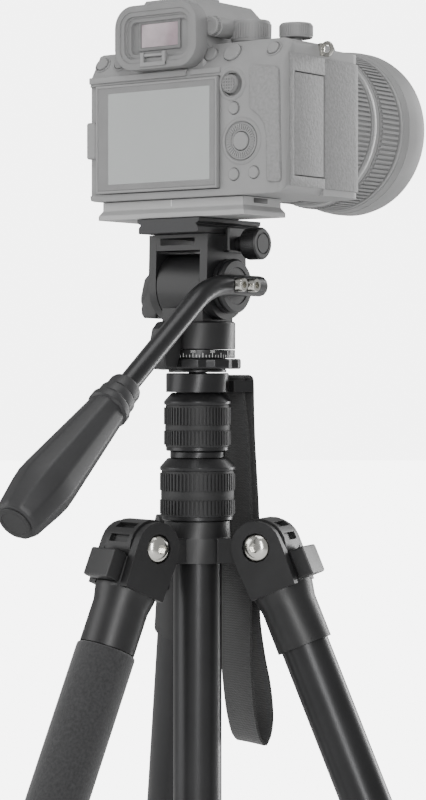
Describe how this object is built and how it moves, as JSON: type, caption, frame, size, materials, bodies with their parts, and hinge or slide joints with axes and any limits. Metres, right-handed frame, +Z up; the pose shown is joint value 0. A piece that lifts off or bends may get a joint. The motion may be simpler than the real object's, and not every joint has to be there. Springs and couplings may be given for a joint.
{
  "type": "camera on tripod",
  "caption": "Travel tripod with a two stage column and a fluid pan and tilt head with a handle, carrying a mirrorless camera with a wide zoom lens.",
  "frame": {"origin": "middle of the overall box, on the floor", "axes": "+Z up, +Y the way that the lens points, +X the camera's right hand side"},
  "size_m": [0.3752, 0.3726, 0.6858],
  "materials": {
    "anodised": "satin black anodised",
    "cast_black": "satin black",
    "rubber": "matte black",
    "foam": "fine grained foam",
    "steel": "polished",
    "webbing": "woven",
    "pale_body": "matte",
    "pale_metal": "satin",
    "pale_rubber": "matte",
    "screen": "satin",
    "glass": "polished"
  },
  "bodies": {
    "spider": {"spider": "cast_black"},
    "lower_lock": {"column_lock_lower": "rubber"},
    "outer_column": {"column_outer_tube": "anodised"},
    "upper_lock": {"column_lock_upper": "rubber"},
    "inner_column": {"column_inner_tube": "anodised", "wrist_strap": "webbing", "pan_base": "anodised"},
    "lock_ring": {"head_lock_ring": "anodised"},
    "pan_head": {"pan_housing": "cast_black"},
    "pan_knob": {"pan_knob": "cast_black"},
    "tilt_head": {"tilt_cradle": "cast_black"},
    "tilt_knob": {"tilt_knob": "cast_black"},
    "clamp_knob": {"clamp_knob": "rubber"},
    "handle": {"handle_clamp": "cast_black", "handle_rod": "anodised", "handle_grip": "rubber"},
    "camera": {"head_plate": "anodised", "camera_plate": "pale_metal", "camera_body": "pale_body", "eyecup": "pale_rubber", "lens_barrel": "pale_body", "front_element": "glass"},
    "screen": {"screen_panel": "screen", "screen_hinge": "pale_body"},
    "mode_dial": {"mode_dial": "pale_body"},
    "exposure_dial": {"exposure_dial": "pale_body"},
    "control_wheel": {"control_wheel": "pale_body"},
    "select_button": {"select_button": "pale_body"},
    "fn_button": {"fn_button": "pale_body"},
    "play_button": {"play_button": "pale_body"},
    "delete_button": {"delete_button": "pale_body"},
    "custom_button": {"custom_button": "pale_body"},
    "focus_button": {"focus_button": "pale_body"},
    "joystick": {"joystick": "pale_rubber"},
    "shutter_button": {"shutter_button": "pale_body"},
    "card_door": {"card_door": "pale_rubber"},
    "zoom_ring": {"zoom_ring": "pale_rubber"},
    "focus_ring": {"focus_ring": "pale_rubber"},
    "leg_1": {"leg_1_yoke": "cast_black", "leg_1_pivot_bolt": "steel", "leg_1_upper_tube": "anodised"},
    "leg_1_latch": {"leg_1_latch": "cast_black"},
    "leg_1_lock": {"leg_1_twist_lock": "rubber"},
    "leg_1_lower": {"leg_1_lower_tube": "anodised", "leg_1_foot": "rubber"},
    "leg_2": {"leg_2_yoke": "cast_black", "leg_2_pivot_bolt": "steel", "leg_2_upper_tube": "anodised"},
    "leg_2_latch": {"leg_2_latch": "cast_black"},
    "leg_2_lock": {"leg_2_twist_lock": "rubber"},
    "leg_2_lower": {"leg_2_lower_tube": "anodised", "leg_2_foot": "rubber"},
    "leg_3": {"leg_3_yoke": "cast_black", "leg_3_pivot_bolt": "steel", "leg_3_upper_tube": "anodised", "leg_3_foam_grip": "foam"},
    "leg_3_latch": {"leg_3_latch": "cast_black"},
    "leg_3_lock": {"leg_3_twist_lock": "rubber"},
    "leg_3_lower": {"leg_3_lower_tube": "anodised", "leg_3_foot": "rubber"}
  },
  "joints": [
    {"name": "lower_lock_turn", "type": "hinge", "parent": "spider", "child": "lower_lock", "pos_m": [-0.02565, 0.0285, 0.39662], "axis": [0, 0, 1], "range_deg": [0, 90]},
    {"name": "column_slide", "type": "slide", "parent": "spider", "child": "outer_column", "axis": [0, 0, 1], "range_m": [0, 0.12]},
    {"name": "upper_lock_turn", "type": "hinge", "parent": "outer_column", "child": "upper_lock", "pos_m": [-0.02565, 0.0285, 0.39662], "axis": [0, 0, 1], "range_deg": [0, 90]},
    {"name": "column_extension", "type": "slide", "parent": "outer_column", "child": "inner_column", "axis": [0, 0, 1], "range_m": [0, 0.17]},
    {"name": "lock_ring_turn", "type": "hinge", "parent": "inner_column", "child": "lock_ring", "pos_m": [-0.02565, 0.0285, 0.39662], "axis": [0, 0, 1], "range_deg": [-30, 30]},
    {"name": "pan", "type": "hinge", "parent": "inner_column", "child": "pan_head", "pos_m": [-0.02565, 0.0285, 0.39662], "axis": [0, 0, 1], "continuous": true},
    {"name": "pan_knob_turn", "type": "hinge", "parent": "pan_head", "child": "pan_knob", "pos_m": [-0.02565, 0.0285, 0.51182], "axis": [0, -1, 0], "continuous": true},
    {"name": "tilt", "type": "hinge", "parent": "pan_head", "child": "tilt_head", "pos_m": [-0.02565, 0.0285, 0.53842], "axis": [1, 0, 0], "range_deg": [-75, 35]},
    {"name": "tilt_knob_turn", "type": "hinge", "parent": "tilt_head", "child": "tilt_knob", "pos_m": [-0.02565, 0.0285, 0.53842], "axis": [-1, 0, 0], "continuous": true},
    {"name": "clamp_knob_turn", "type": "hinge", "parent": "tilt_head", "child": "clamp_knob", "pos_m": [-0.02565, 0.0345, 0.56002], "axis": [1, 0, 0], "continuous": true},
    {"name": "handle_angle", "type": "hinge", "parent": "tilt_head", "child": "handle", "pos_m": [-0.02565, 0.0285, 0.53842], "axis": [-1, 0, 0], "range_deg": [-20, 35]},
    {"name": "plate_slide", "type": "slide", "parent": "tilt_head", "child": "camera", "axis": [0, 1, 0], "range_m": [-0.01, 0.01]},
    {"name": "screen_swing", "type": "hinge", "parent": "camera", "child": "screen", "pos_m": [-0.07285, 0.0009, 0.58272], "axis": [0, 0, -1], "range_deg": [0, 175]},
    {"name": "mode_dial_turn", "type": "hinge", "parent": "camera", "child": "mode_dial", "pos_m": [0.01055, 0.0255, 0.65972], "axis": [0, 0, 1], "continuous": true},
    {"name": "exposure_dial_turn", "type": "hinge", "parent": "camera", "child": "exposure_dial", "pos_m": [0.03615, 0.0285, 0.65972], "axis": [0, 0, 1], "continuous": true},
    {"name": "control_wheel_turn", "type": "hinge", "parent": "camera", "child": "control_wheel", "pos_m": [0.02185, 0.0015, 0.60912], "axis": [0, -1, 0], "continuous": true},
    {"name": "select_press", "type": "slide", "parent": "camera", "child": "select_button", "axis": [0, 1, 0], "range_m": [0, 0.0007], "stiffness_N_per_m": 400},
    {"name": "fn_press", "type": "slide", "parent": "camera", "child": "fn_button", "axis": [0, 1, 0], "range_m": [0, 0.0007], "stiffness_N_per_m": 400},
    {"name": "play_press", "type": "slide", "parent": "camera", "child": "play_button", "axis": [0, 1, 0], "range_m": [0, 0.0007], "stiffness_N_per_m": 400},
    {"name": "delete_press", "type": "slide", "parent": "camera", "child": "delete_button", "axis": [0, 1, 0], "range_m": [0, 0.0007], "stiffness_N_per_m": 400},
    {"name": "custom_press", "type": "slide", "parent": "camera", "child": "custom_button", "axis": [0, 0.8603, -0.5098], "range_m": [0, 0.0007], "stiffness_N_per_m": 400},
    {"name": "focus_press", "type": "slide", "parent": "camera", "child": "focus_button", "axis": [0, 0.8603, -0.5098], "range_m": [0, 0.0007], "stiffness_N_per_m": 400},
    {"name": "joystick_rock", "type": "hinge", "parent": "camera", "child": "joystick", "pos_m": [0.01605, 0.0025, 0.63772], "axis": [1, 0, 0], "range_deg": [-6, 6], "stiffness_Nm_per_rad": 0.02},
    {"name": "shutter_press", "type": "slide", "parent": "camera", "child": "shutter_button", "axis": [0, 0, -1], "range_m": [0, 0.0007], "stiffness_N_per_m": 400},
    {"name": "card_door_swing", "type": "hinge", "parent": "camera", "child": "card_door", "pos_m": [0.04755, 0.0369, 0.58272], "axis": [0, 0, 1], "range_deg": [0, 100]},
    {"name": "zoom_turn", "type": "hinge", "parent": "camera", "child": "zoom_ring", "pos_m": [-0.02565, 0.0285, 0.62842], "axis": [0, 1, 0], "range_deg": [0, 90]},
    {"name": "focus_turn", "type": "hinge", "parent": "camera", "child": "focus_ring", "pos_m": [-0.02565, 0.0285, 0.62842], "axis": [0, 1, 0], "continuous": true},
    {"name": "leg_1_spread", "type": "hinge", "parent": "spider", "child": "leg_1", "pos_m": [0.01043, 0.03871, 0.40562], "axis": [0.2723, -0.9622, 0], "range_deg": [-22.8, 55]},
    {"name": "leg_1_latch_pull", "type": "slide", "parent": "leg_1", "child": "leg_1_latch", "axis": [0.887, 0.251, 0.3875], "range_m": [0, 0.006], "stiffness_N_per_m": 300},
    {"name": "leg_1_lock_turn", "type": "hinge", "parent": "leg_1", "child": "leg_1_lock", "pos_m": [0.01043, 0.03871, 0.40562], "axis": [-0.3729, -0.1055, 0.9219], "range_deg": [0, 90]},
    {"name": "leg_1_extension", "type": "slide", "parent": "leg_1", "child": "leg_1_lower", "axis": [0.3729, 0.1055, -0.9219], "range_m": [0, 0.28]},
    {"name": "leg_2_spread", "type": "hinge", "parent": "spider", "child": "leg_2", "pos_m": [-0.05254, 0.05464, 0.40562], "axis": [0.6972, 0.7169, 0], "range_deg": [-22.8, 55]},
    {"name": "leg_2_latch_pull", "type": "slide", "parent": "leg_2", "child": "leg_2_latch", "axis": [-0.6609, 0.6427, 0.3875], "range_m": [0, 0.006], "stiffness_N_per_m": 300},
    {"name": "leg_2_lock_turn", "type": "hinge", "parent": "leg_2", "child": "leg_2_lock", "pos_m": [-0.05254, 0.05464, 0.40562], "axis": [0.2778, -0.2702, 0.9219], "range_deg": [0, 90]},
    {"name": "leg_2_extension", "type": "slide", "parent": "leg_2", "child": "leg_2_lower", "axis": [-0.2778, 0.2702, -0.9219], "range_m": [0, 0.28]},
    {"name": "leg_3_spread", "type": "hinge", "parent": "spider", "child": "leg_3", "pos_m": [-0.03485, -0.00786, 0.40562], "axis": [-0.9694, 0.2453, 0], "range_deg": [-22.8, 55]},
    {"name": "leg_3_latch_pull", "type": "slide", "parent": "leg_3", "child": "leg_3_latch", "axis": [-0.2261, -0.8937, 0.3875], "range_m": [0, 0.006], "stiffness_N_per_m": 300},
    {"name": "leg_3_lock_turn", "type": "hinge", "parent": "leg_3", "child": "leg_3_lock", "pos_m": [-0.03485, -0.00786, 0.40562], "axis": [0.0951, 0.3757, 0.9219], "range_deg": [0, 90]},
    {"name": "leg_3_extension", "type": "slide", "parent": "leg_3", "child": "leg_3_lower", "axis": [-0.0951, -0.3757, -0.9219], "range_m": [0, 0.28]}
  ]
}
